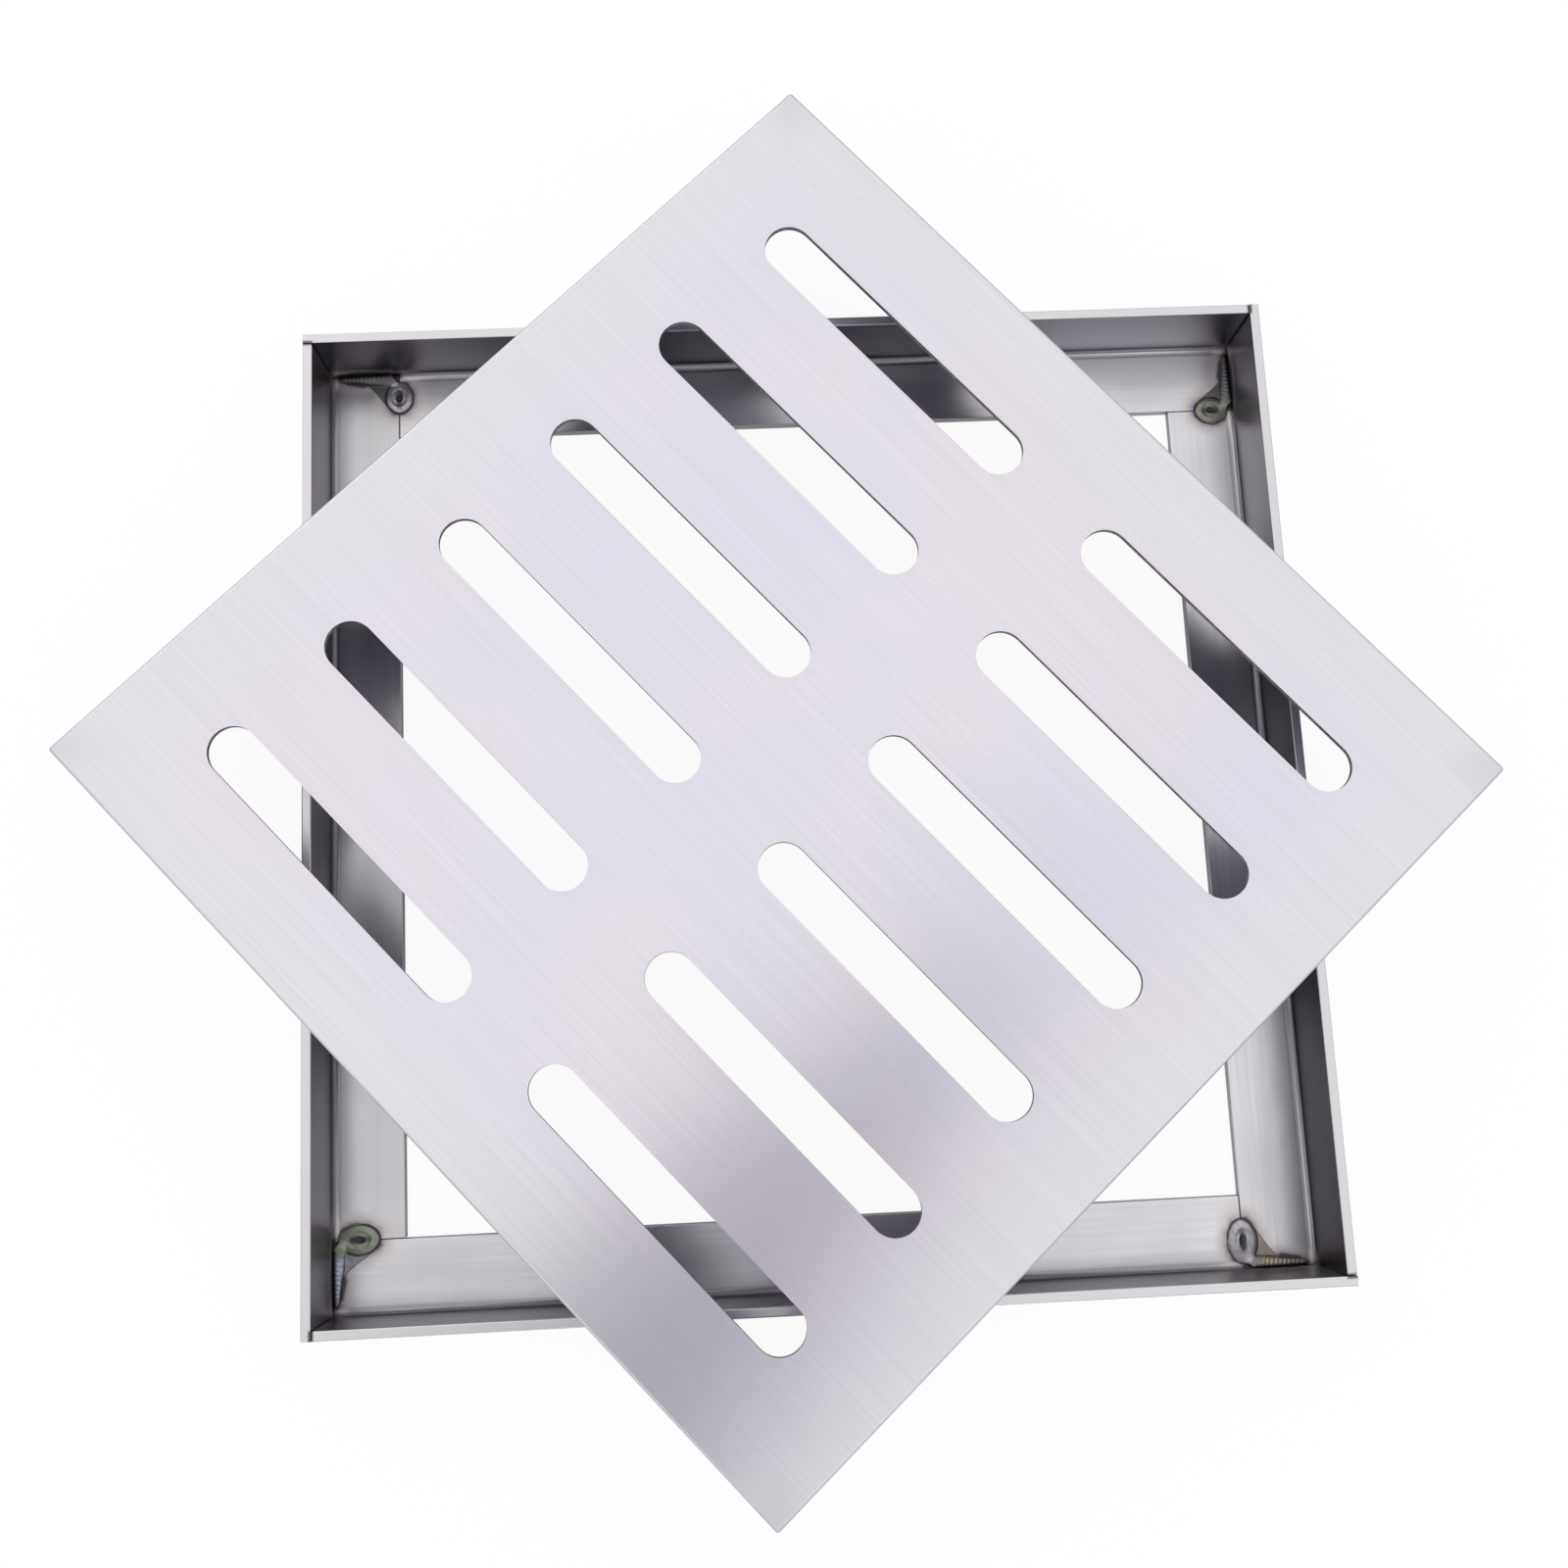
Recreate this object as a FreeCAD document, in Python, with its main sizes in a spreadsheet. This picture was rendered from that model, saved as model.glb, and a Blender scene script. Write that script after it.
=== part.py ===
# Square drain cover: a slotted steel tray, laid turned on the rim of the welded angle frame it drops into.
# Millimetres, +Z up. The origin is the middle of the frame on the ground, and X runs along the slots.
import FreeCAD, Part
import math
import os
import Sketcher

# Driving dimensions
DIMENSIONS = {
    "cover_side": 300,            # outside of the tray, both ways
    "cover_depth": 27,            # tray from its top face to the lower edge of its skirt
    "cover_sheet": 2,             # sheet that the tray is folded from
    "cover_fold_radius": 1,       # outside radius of the tray's sharp folds
    "slot_length": 105,           # obround slot, end to end
    "slot_width": 15,
    "slot_bar": 30,               # metal left between two rows of slots
    "slot_gap": 30,               # metal left between the columns of slots
    "slot_rows": 6,
    "slot_columns": 2,
    "cover_clearance": 1.5,       # play between the dropped-in cover and each wall of the frame
    "frame_sheet": 3,             # sheet that the four angles are folded from
    "frame_fold_radius": 2,       # inside radius of the angles' fold
    "ledge_width": 25,            # horizontal leg of the angle, from the outside of the wall
    "edge_break": 0.4,            # deburred radius of the angle's long edges
    "seam_gap": 0.3,              # gap where one angle is cut to butt on the next
    "puddle_length": 12,          # weld puddle along the seam in the ledge
    "puddle_width": 9.6,          # weld puddle across that seam
    "puddle_height": 1.2,
    "tail_leg": 4.5,              # run of weld along the wall, on the ledge beside the puddle
    "tail_height": 2,             # the same run, up the wall
    "tail_tip_leg": 2,            # where the run dies out towards the corner
    "tail_tip_height": 0.9,
    "weld_clearance": 0.2,        # between the weld and the rounded fold of the angle
    "frame_turn": 48.2,           # turn of the frame under the cover, in degrees
    "cover_shift_along": -9.3,    # middle of the cover from the middle of the frame, along the slots
    "cover_shift_across": -2.4,
}
FRAME_SIDES = 4
NEAR = 1e-4    # two places closer than this are the same place

# Sizes that follow from the driving ones, as expressions on the sheet
INNER_HALF = "(Sizes.cover_side / 2 + Sizes.cover_clearance)"
OUTER_HALF = f"({INNER_HALF} + Sizes.frame_sheet)"
WALL_HEIGHT = "(Sizes.cover_depth + Sizes.frame_sheet)"
LEDGE_EDGE = f"({OUTER_HALF} - Sizes.ledge_width)"
LEDGE_REACH = "(Sizes.ledge_width - Sizes.frame_sheet)"
FOLD_OUTER = "(Sizes.frame_fold_radius + Sizes.frame_sheet)"
SLOT_PITCH_ALONG = "(Sizes.slot_length + Sizes.slot_gap)"
SLOT_PITCH_ACROSS = "(Sizes.slot_width + Sizes.slot_bar)"
SLOT_FIELD_ALONG = f"((Sizes.slot_columns - 1) * {SLOT_PITCH_ALONG})"
SLOT_FIELD_ACROSS = f"((Sizes.slot_rows - 1) * {SLOT_PITCH_ACROSS})"

doc = FreeCAD.newDocument("SquareDrainCover")
sheet = doc.addObject("Spreadsheet::Sheet", "Sizes")
for row, (alias, size) in enumerate(DIMENSIONS.items(), start=1):
    sheet.set(f"A{row}", alias)
    sheet.set(f"B{row}", str(size))
    sheet.setAlias(f"B{row}", alias)
doc.recompute()


def value(expression):
    """Present value of an expression on the sheet, as a plain number."""
    result = sheet.evalExpression(expression)
    return float(getattr(result, "Value", result))


def new_body(name):
    """Empty body with the node's name."""
    body = doc.addObject("PartDesign::Body", name)
    body.Label = name
    return body


def new_sketch(body, name, plane, height="0"):
    """Sketch on one of the body's own origin planes, lifted off it by an expression."""
    sketch = body.newObject("Sketcher::SketchObject", name)
    support = next(f for f in body.Origin.OriginFeatures if f.Role == plane)
    sketch.AttachmentSupport = [(support, "")]
    sketch.MapMode = "FlatFace"
    sketch.setExpression("AttachmentOffset.Base.z", height)
    doc.recompute()
    return sketch


def bind(sketch, name, constraint, expression):
    """Add a dimension to a sketch and bind it to the sheet."""
    index = sketch.addConstraint(constraint)
    sketch.renameConstraint(index, name)
    sketch.setExpression(f"Constraints.{name}", expression)


def locate(sketch, name, geometry, point, across, up):
    """Hold one point of the sketch at two coordinates, each an expression."""
    for axis, expression in (("X", across), ("Y", up)):
        size = value(expression)
        ends = (-1, 1, geometry, point) if size >= 0 else (geometry, point, -1, 1)
        signed = expression if size >= 0 else f"-({expression})"
        bind(sketch, f"{name}_{axis}", Sketcher.Constraint(f"Distance{axis}", *ends, abs(size)), signed)


def draw_outline(sketch, corners):
    """Closed outline of straight lines through corners given as pairs of expressions."""
    points = [FreeCAD.Vector(value(across), value(up), 0) for across, up in corners]
    count = len(points)
    for i in range(count):
        sketch.addGeometry(Part.LineSegment(points[i], points[(i + 1) % count]))
    for i in range(count):
        sketch.addConstraint(Sketcher.Constraint("Coincident", i, 2, (i + 1) % count, 1))
    for i, (across, up) in enumerate(corners):
        locate(sketch, f"corner{i}", i, 1, across, up)
    doc.recompute()


def draw_square(sketch, half):
    """Square about the sketch's origin, with its half side an expression."""
    draw_outline(sketch, [(f"-{half}", f"-{half}"), (half, f"-{half}"), (half, half), (f"-{half}", half)])


def draw_slot(sketch, length, width, along, across):
    """Obround slot: two half circles joined by two lines, its middle at (along, across)."""
    radius = value(width) / 2
    left = f"{along} - ({length} - {width}) / 2"
    right = f"{along} + ({length} - {width}) / 2"
    level = value(across)
    ends = [FreeCAD.Vector(value(middle), level, 0) for middle in (left, right)]
    normal = FreeCAD.Vector(0, 0, 1)
    lift = FreeCAD.Vector(0, radius, 0)
    quarter = math.pi / 2
    sketch.addGeometry(Part.ArcOfCircle(Part.Circle(ends[0], normal, radius), quarter, 3 * quarter))
    sketch.addGeometry(Part.ArcOfCircle(Part.Circle(ends[1], normal, radius), -quarter, quarter))
    sketch.addGeometry(Part.LineSegment(ends[0] + lift, ends[1] + lift))
    sketch.addGeometry(Part.LineSegment(ends[0] - lift, ends[1] - lift))
    for arc, arc_end, line, line_end in ((0, 1, 2, 1), (1, 2, 2, 2), (0, 2, 3, 1), (1, 1, 3, 2)):
        sketch.addConstraint(Sketcher.Constraint("Tangent", arc, arc_end, line, line_end))
    sketch.addConstraint(Sketcher.Constraint("Equal", 0, 1))
    bind(sketch, "end_radius", Sketcher.Constraint("Radius", 0, radius), f"{width} / 2")
    locate(sketch, "left_end", 0, 3, left, across)
    locate(sketch, "right_end", 1, 3, right, across)
    doc.recompute()


def pad(body, sketch, name, length):
    """Pad a sketch along its normal by an expression."""
    feature = body.newObject("PartDesign::Pad", name)
    feature.Profile = sketch
    feature.setExpression("Length", length)
    doc.recompute()
    return feature


def pocket(body, sketch, name, length):
    """Cut a sketch along its normal by an expression; the cut has to take metal away."""
    before = body.Shape.Volume
    feature = body.newObject("PartDesign::Pocket", name)
    feature.Profile = sketch
    feature.Reversed = True
    feature.setExpression("Length", length)
    doc.recompute()
    if not feature.Shape.Volume < before:
        raise RuntimeError(f"{name} cuts nothing")
    return feature


def long_edge(shape, across, up):
    """Name of the edge along X that passes at the given Y and Z."""
    for i, edge in enumerate(shape.Edges, start=1):
        box = edge.BoundBox
        along_x = box.YLength < NEAR and box.ZLength < NEAR
        if along_x and abs(box.Center.y - across) < NEAR and abs(box.Center.z - up) < NEAR:
            return f"Edge{i}"
    raise RuntimeError(f"no edge along X at {across}, {up}")


def fold_edges(shape):
    """Names of a block's edges that a tray is folded or joined along: all but those around its underside."""
    return [f"Edge{i}" for i, edge in enumerate(shape.Edges, start=1) if edge.BoundBox.ZMax > NEAR]


def round_edges(body, base, name, edges, radius):
    """Fillet named edges of a feature with a radius given as an expression."""
    feature = body.newObject("PartDesign::Fillet", name)
    feature.Base = (base, edges)
    feature.setExpression("Radius", radius)
    doc.recompute()
    return feature


def row_of_copies(body, sketch, name, axis, span, count):
    """One direction of a pattern: copies spread evenly over a span."""
    pattern = body.newObject("PartDesign::LinearPattern", name)
    pattern.Direction = (sketch, [axis])
    pattern.setExpression("Length", span)
    pattern.setExpression("Occurrences", count)
    return pattern


def make_cover():
    """Tray folded from one sheet, with its slots cut through the top."""
    body = new_body("cover")
    blank = new_sketch(body, "cover_outline", "XY_Plane")
    draw_square(blank, "(Sizes.cover_side / 2)")
    block = pad(body, blank, "cover_block", "Sizes.cover_depth")
    round_edges(body, block, "cover_folds", fold_edges(block.Shape), "Sizes.cover_fold_radius")

    hollow = new_sketch(body, "cover_hollow_outline", "XY_Plane")
    draw_square(hollow, "(Sizes.cover_side / 2 - Sizes.cover_sheet)")
    pocket(body, hollow, "cover_hollow", "Sizes.cover_depth - Sizes.cover_sheet")

    slot = new_sketch(body, "cover_slot_outline", "XY_Plane", "Sizes.cover_depth - Sizes.cover_sheet")
    corner_slot = (f"-{SLOT_FIELD_ALONG} / 2", f"-{SLOT_FIELD_ACROSS} / 2")
    draw_slot(slot, "Sizes.slot_length", "Sizes.slot_width", *corner_slot)
    first = pocket(body, slot, "cover_first_slot", "Sizes.cover_sheet")
    slots = body.newObject("PartDesign::MultiTransform", "cover_slots")
    slots.Originals = [first]
    slots.Transformations = [
        row_of_copies(body, slot, "slot_columns", "H_Axis", SLOT_FIELD_ALONG, "Sizes.slot_columns"),
        row_of_copies(body, slot, "slot_rows", "V_Axis", SLOT_FIELD_ACROSS, "Sizes.slot_rows"),
    ]
    body.Tip = slots
    doc.recompute()

    body.setExpression("Placement.Base.x", "Sizes.cover_shift_along")
    body.setExpression("Placement.Base.y", "Sizes.cover_shift_across")
    body.setExpression("Placement.Base.z", WALL_HEIGHT)
    return body


def turn_to_side(body, side):
    """Turn a piece of the frame's first side about the middle of the frame to its own side."""
    upright = FreeCAD.Vector(0, 0, 1)
    turn = f"Sizes.frame_turn + {side} * 360 / {FRAME_SIDES}"
    body.Placement = FreeCAD.Placement(FreeCAD.Vector(), FreeCAD.Rotation(upright, value(turn)))
    body.setExpression("Placement.Rotation.Angle", turn)


def make_frame_bar(side):
    """Folded angle along one side: its wall runs through at one corner and butts at the other."""
    name = f"frame_bar_{side + 1}"
    body = new_body(name)
    section = new_sketch(body, f"{name}_section", "YZ_Plane", f"-{OUTER_HALF}")
    draw_outline(section, [
        (LEDGE_EDGE, "0"),
        (OUTER_HALF, "0"),
        (OUTER_HALF, WALL_HEIGHT),
        (INNER_HALF, WALL_HEIGHT),
        (INNER_HALF, "Sizes.frame_sheet"),
        (LEDGE_EDGE, "Sizes.frame_sheet"),
    ])
    bar = pad(body, section, f"{name}_length", f"{OUTER_HALF} + {INNER_HALF} - Sizes.seam_gap")

    inner, outer, rim = value(INNER_HALF), value(OUTER_HALF), value(WALL_HEIGHT)
    ledge, thick = value(LEDGE_EDGE), value("Sizes.frame_sheet")
    inside = round_edges(body, bar, f"{name}_fold_inside", [long_edge(bar.Shape, inner, thick)],
                         "Sizes.frame_fold_radius")
    outside = round_edges(body, inside, f"{name}_fold_outside", [long_edge(inside.Shape, outer, 0)],
                          FOLD_OUTER)
    bare_edges = ((inner, rim), (outer, rim), (ledge, thick), (ledge, 0))
    breaks = [long_edge(outside.Shape, across, up) for across, up in bare_edges]
    round_edges(body, outside, f"{name}_edges", breaks, "Sizes.edge_break")

    # The ledge stops short of the next bar's ledge, which runs through to this wall.
    notch = new_sketch(body, f"{name}_notch_outline", "XY_Plane")
    notch_end = f"-{LEDGE_EDGE} + Sizes.seam_gap"
    draw_outline(notch, [
        (f"-{OUTER_HALF}", LEDGE_EDGE),
        (notch_end, LEDGE_EDGE),
        (notch_end, INNER_HALF),
        (f"-{OUTER_HALF}", INNER_HALF),
    ])
    pocket(body, notch, f"{name}_notch", WALL_HEIGHT)
    turn_to_side(body, side)
    return body


def make_corner_weld(side):
    """Weld in one corner: a puddle over the seam in the ledge and a run along the foot of the wall."""
    name = f"corner_weld_{side + 1}"
    body = new_body(name)
    floor = "Sizes.frame_sheet"

    def run_section(label, place, leg, height):
        sketch = new_sketch(body, f"{name}_{label}", "YZ_Plane", place)
        draw_outline(sketch, [
            (INNER_HALF, floor),
            (INNER_HALF, f"{floor} + {height}"),
            (f"{INNER_HALF} - {leg}", floor),
        ])
        return sketch

    tip_place = f"-{INNER_HALF} + Sizes.frame_fold_radius + Sizes.weld_clearance"
    seam_place = f"-{INNER_HALF} + {LEDGE_REACH}"
    tail = body.newObject("PartDesign::AdditiveLoft", f"{name}_run")
    tail.Profile = run_section("run_tip", tip_place, "Sizes.tail_tip_leg", "Sizes.tail_tip_height")
    tail.Sections = [run_section("run_end", seam_place, "Sizes.tail_leg", "Sizes.tail_height")]
    doc.recompute()

    puddle = body.newObject("PartDesign::AdditiveEllipsoid", f"{name}_puddle")
    puddle.Angle1 = 0
    puddle.Angle2 = 90
    puddle.setExpression("Radius1", "Sizes.puddle_height")
    puddle.setExpression("Radius2", "Sizes.puddle_width / 2")
    puddle.setExpression("Radius3", "Sizes.puddle_length / 2")
    puddle_inset = "Sizes.frame_fold_radius + Sizes.weld_clearance + Sizes.puddle_length / 2"
    puddle.setExpression("Placement.Base.x", f"{seam_place} + Sizes.seam_gap / 2")
    puddle.setExpression("Placement.Base.y", f"{INNER_HALF} - ({puddle_inset})")
    puddle.setExpression("Placement.Base.z", floor)
    body.Tip = puddle
    doc.recompute()
    turn_to_side(body, side)
    return body


def check(pieces):
    """Stop if any object of the document failed, or a piece isn't one valid solid."""
    for thing in doc.Objects:
        if "Invalid" in thing.State or "Error" in thing.State:
            raise RuntimeError(f"{thing.Label} failed: {thing.State}")
    for piece in pieces:
        if piece.Shape.isNull() or not piece.Shape.isValid() or len(piece.Shape.Solids) != 1:
            raise RuntimeError(f"{piece.Label} is not one valid solid")


pieces = [make_cover()]
for side in range(FRAME_SIDES):
    pieces.append(make_frame_bar(side))
    pieces.append(make_corner_weld(side))
doc.recompute()
check(pieces)

os.makedirs("parts", exist_ok=True)
for piece in pieces:
    piece.Shape.exportStep(f"parts/{piece.Label}.step")
    box = piece.Shape.BoundBox
    print(f"{piece.Label}: {piece.Shape.Volume / 1000:.2f} cm3, z {box.ZMin:.2f} to {box.ZMax:.2f}")
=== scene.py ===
"""A slotted square drain cover of stainless steel, lying turned on its welded angle frame."""

import math

import bpy
import numpy as np
from bpy.props import FloatProperty, FloatVectorProperty, PointerProperty
from mathutils import Matrix, Vector


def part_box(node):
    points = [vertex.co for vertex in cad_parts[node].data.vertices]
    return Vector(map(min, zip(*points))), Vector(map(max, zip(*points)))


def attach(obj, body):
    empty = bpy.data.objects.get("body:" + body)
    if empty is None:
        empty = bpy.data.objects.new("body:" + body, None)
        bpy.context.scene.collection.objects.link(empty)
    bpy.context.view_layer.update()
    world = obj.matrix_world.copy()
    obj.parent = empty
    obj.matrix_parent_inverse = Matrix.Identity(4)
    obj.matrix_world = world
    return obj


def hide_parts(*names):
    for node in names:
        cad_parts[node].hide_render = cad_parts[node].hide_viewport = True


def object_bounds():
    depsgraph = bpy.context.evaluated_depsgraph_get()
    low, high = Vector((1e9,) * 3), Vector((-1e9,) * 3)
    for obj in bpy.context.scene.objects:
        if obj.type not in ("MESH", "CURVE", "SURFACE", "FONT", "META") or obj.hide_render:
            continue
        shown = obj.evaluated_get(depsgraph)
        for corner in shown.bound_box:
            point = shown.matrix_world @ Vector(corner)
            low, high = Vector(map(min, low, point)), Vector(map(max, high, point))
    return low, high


bl_info = {
    "name": "Square drain cover",
    "version": (1, 0, 0),
    "blender": (4, 5, 0),
    "location": "3D View > Sidebar > Drain cover",
    "description": "Finishes a slotted drain cover and its welded frame, and sets a plain stage for them",
    "category": "Object",
}

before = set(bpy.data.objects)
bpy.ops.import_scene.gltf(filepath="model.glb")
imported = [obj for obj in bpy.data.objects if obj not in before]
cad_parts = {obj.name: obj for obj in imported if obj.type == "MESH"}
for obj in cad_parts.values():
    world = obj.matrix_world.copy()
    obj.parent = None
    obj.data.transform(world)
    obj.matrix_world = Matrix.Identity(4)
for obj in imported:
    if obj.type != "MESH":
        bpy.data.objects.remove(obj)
CAD_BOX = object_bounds()

# The scene is in metres, and finishes and beads are worked out in millimetres
MM = 0.001
PER_MM = 1000.0
BODY = "root"

# Places and sizes that the solids share with this file
COVER_LOW, COVER_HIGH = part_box("cover")
COVER_MIDDLE = (COVER_LOW + COVER_HIGH) / 2
COVER_HALF = (COVER_HIGH.x - COVER_LOW.x) / 2
FRAME_TURN = math.radians(48.2)
QUARTER_TURN = math.radians(90)
INNER_HALF = 151.5 * MM
LEDGE_TOP = 3.0 * MM
LEDGE_REACH = 22.0 * MM
FOLD_RADIUS = 2.0 * MM
WALL_TOP = 30.0 * MM
SEAM_GAP = 0.3 * MM
SIDES = 4
BAR_NAMES = ["frame_bar_%d" % (side + 1) for side in range(SIDES)]
WELD_NAMES = ["corner_weld_%d" % (side + 1) for side in range(SIDES)]

# Sockets of the Mix node, whose names repeat for each kind of data
MIX_SHARE, MIX_FLOAT_A, MIX_FLOAT_B, MIX_COLOUR_A, MIX_COLOUR_B = 0, 2, 3, 6, 7

# Noise runs from 0 to 1 but lies mostly between these, and a smooth range eases in and out
WIDE_SPAN = {"From Min": 0.3, "From Max": 0.7}
NARROW_SPAN = {"From Min": 0.35, "From Max": 0.65}
SMOOTH = {"interpolation_type": "SMOOTHSTEP"}

# The cover's finish: margins in millimetres, slopes as the upright share of a normal, and plain shares
SLOT_MARGIN = 4.0
SKIN_MARGIN = 1.0
STEEP_SLOPE = 0.5
DOWNWARD_SLOPE = -0.3
GRAIN_SHARE = 0.45
GROUND_SHARE = 0.6
CUT_SHADE = 0.65
SKIN_DARK, SKIN_PALE = 0.8, 1.12
SWELLS_PER_PATCH = 0.6
GRAIN_DIRECTION = (1.0, 0.0, 0.2)
STREAK_SCALE = (1.0, 1.0, 0.08)

# The frame's finish: margins and spans in millimetres, spans in the fold in fold radii, and plain shares
WALL_MARGIN = 0.5
LEDGE_MARGIN = 0.2
# Where the painted dark line in the fold starts and ends, in fold radii from the wall
CREASE_START = (1.3, 0.8)
CREASE_END = (0.55, 0.25)
# Where the painted shade on the inner face of the wall starts and is full, in fold radii above the ledge
WALL_SHADE_START = (0.4, 1.3)
RIM_SPAN = (0.3, 0.05)
MET_SPAN = (0.5, -0.3)
PATCH_SHARE = 0.6
ROLL_SHARE = 0.6
FULL_SHARE = 1 / 3

# Heat round a weld: sizes in millimetres, and distances as multiples of the bead's half sizes
WARM_HEIGHT = 3.5
RUN_MARGIN = 1.0
WARM_SPAN = {"From Min": 0.95, "From Max": 2.2}
WARM_RAGGED = 0.25
RAGS_PER_MM = 0.3
COOL_SHARE = 0.9

# The weld metal: spans of the dark toe and of the black band along the wall, in scale widths, and plain
# shares
TOE_START = 0.3
WALL_START, WALL_END = 0.5, 2.0
CRATER_SPAN = {"From Min": 0.5, "From Max": 1.3}
MOTTLE_SPAN = {"From Min": 0.45, "From Max": 0.75}
MOTTLE_SHARE = 0.5
MOTTLES_PER_MM = 0.8

# The bead's form: steps, lengths in millimetres, and shares of the puddle's half width, radius or height
BEAD_ALONG, BEAD_ACROSS, BACK_STEPS = 220, 64, 4
NOSE_LENGTH = 1.6
OPENING_REACH = 3.0
RUN_BLEND = 2.0
FALL_REACH = 0.6
WEB_HEIGHT = 0.5
LEAST_HEIGHT = 0.02
FAR_OFF = 10.0
SWING_REACH = 2.4
LAST_SECTION = 0.998
LEAST_NOSE = 0.01
RIPPLE_BOW = 0.10
RING_HEIGHT, RING_RADIUS, RING_WIDTH = 0.14, 0.72, 0.14
WAVE_HEIGHT, WAVE_COUNT = 0.04, 3.5
CRATER_DEPTH = 0.55
JOIN_POWER = 4

# Roughness: how far the grain swings it, what cutting, grinding and scale add, and its range on the welds
ROUGH_SWING = 0.02
WORKED_ROUGH = 0.12
SCALE_ROUGH = 0.2
WELD_ROUGH_LEAST, WELD_ROUGH_MOST = 0.32, 0.5

# The stage: how far the floor lies below the frame, so that their faces stay apart, how white each kind of
# ray finds it, and the strength of the room's light
FLOOR_DROP = 0.1 * MM
WHITE = (1, 1, 1, 1)
FLOOR_SHARES = {"Is Camera Ray": 0.93, "Is Glossy Ray": 0.25, "Is Transmission Ray": 0.93}
ROOM_STRENGTH = 1.15


def linear(hex_colour):
    """An sRGB hex colour as linear red, green and blue."""
    shares = [int(hex_colour[i:i + 2], 16) / 255 for i in (1, 3, 5)]
    return tuple(c / 12.92 if c <= 0.04045 else ((c + 0.055) / 1.055) ** 2.4 for c in shares)


def colour_property(name, description, hex_colour):
    """A colour that the user may change, written as sRGB hex."""
    return FloatVectorProperty(
        name=name, description=description, subtype="COLOR", size=3, min=0, max=1, default=linear(hex_colour)
    )


def length_property(name, description, millimetres):
    """A length that the user may change, written in millimetres."""
    return FloatProperty(name=name, description=description, unit="LENGTH", min=0, default=millimetres * MM)


def share_property(name, description, default):
    """A share from 0 to 1 that the user may change."""
    return FloatProperty(name=name, description=description, subtype="FACTOR", min=0, max=1, default=default)


def four_shares(name, description, *defaults):
    """A share from 0 to 1 for each side of the frame, which the user may change."""
    return FloatVectorProperty(name=name, description=description, size=SIDES, min=0, max=1, default=defaults)


def four_lengths(name, description, *millimetres, **limits):
    """A length for each side of the frame, which the user may change, written in millimetres."""
    return FloatVectorProperty(
        name=name, description=description, unit="LENGTH", size=SIDES, default=[m * MM for m in millimetres],
        **limits
    )


def place_property(name, description, *millimetres):
    """A place that the user may change, written in millimetres."""
    return FloatVectorProperty(
        name=name, description=description, subtype="TRANSLATION", unit="LENGTH",
        default=[m * MM for m in millimetres]
    )


def opaque(colour):
    """A property's colour with full alpha."""
    return (*colour, 1.0)


def new_material(name):
    """An empty node material and its tree."""
    material = bpy.data.materials.new(name)
    material.use_nodes = True
    material.node_tree.nodes.clear()
    return material, material.node_tree


def add(tree, kind, sockets=None, output=None, stops=None, **settings):
    """Adds one node and gives the named output, or else the first one that its settings leave in use.

    The kind is written without the prefix that all kinds share. Settings go on the node, sockets are values
    or links by input name or number, and stops are a colour ramp's places and colours.
    """
    made = tree.nodes.new("ShaderNode" + kind)
    for key, value in settings.items():
        setattr(made, key, value)
    for key, value in (sockets or {}).items():
        if isinstance(value, bpy.types.NodeSocket):
            tree.links.new(value, made.inputs[key])
        else:
            made.inputs[key].default_value = value
    if stops:
        elements = made.color_ramp.elements
        while len(elements) < len(stops):
            elements.new(1.0)
        for element, (place, colour) in zip(elements, stops):
            element.position = place
            element.color = colour
    if output:
        return made.outputs[output]
    return next((socket for socket in made.outputs if socket.enabled), None)


class CoverSteelSettings(bpy.types.PropertyGroup):
    """The cover's sheet: its colour and its brushed grain."""

    colour: colour_property("Sheet colour", "Colour of the brushed sheet", "#D8D4DE")
    cool_tint: colour_property("Cool tint", "Faint bluish patches in the sheet", "#D5D3E0")
    warm_tint: colour_property("Warm tint", "Faint rosy patches in the sheet", "#DBD4DB")
    edge_tint: colour_property("Border tint", "Plainer tint towards the borders of the sheet", "#D8D6DB")
    cut_colour: colour_property("Cut colour", "Colour of the laser-cut slot walls", "#A9A5AA")
    ground_colour: colour_property("Ground colour", "Colour of the ground corners", "#CBC8CF")
    skin_colour: colour_property("Skin colour", "Dull mill skin on the inside of the tray", "#A6A1B4")
    roughness: share_property("Roughness", "Roughness of the brushed sheet", 0.30)
    grazing: share_property("Grazing", "How much light the brushed sheet gives back at a low angle", 0.4)
    stretch: share_property("Stretch", "How far the grain stretches a reflection across itself", 0.6)
    grain_width: length_property("Grain width", "Width of one brushed line, drawn coarser than it is", 0.8)
    grain_length: length_property("Grain length", "Length of one brushed line", 80)
    patch_size: length_property("Patch size", "Size of the faint tinted patches", 70)
    cloud_size: length_property("Cloud size", "Size of the clouds in the mill skin", 18)
    edge_reach: length_property("Border reach", "How far the plainer tint reaches from the borders", 40)
    ground_reach: length_property("Ground reach", "How far the ground corners reach from the edge", 18)


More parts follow.
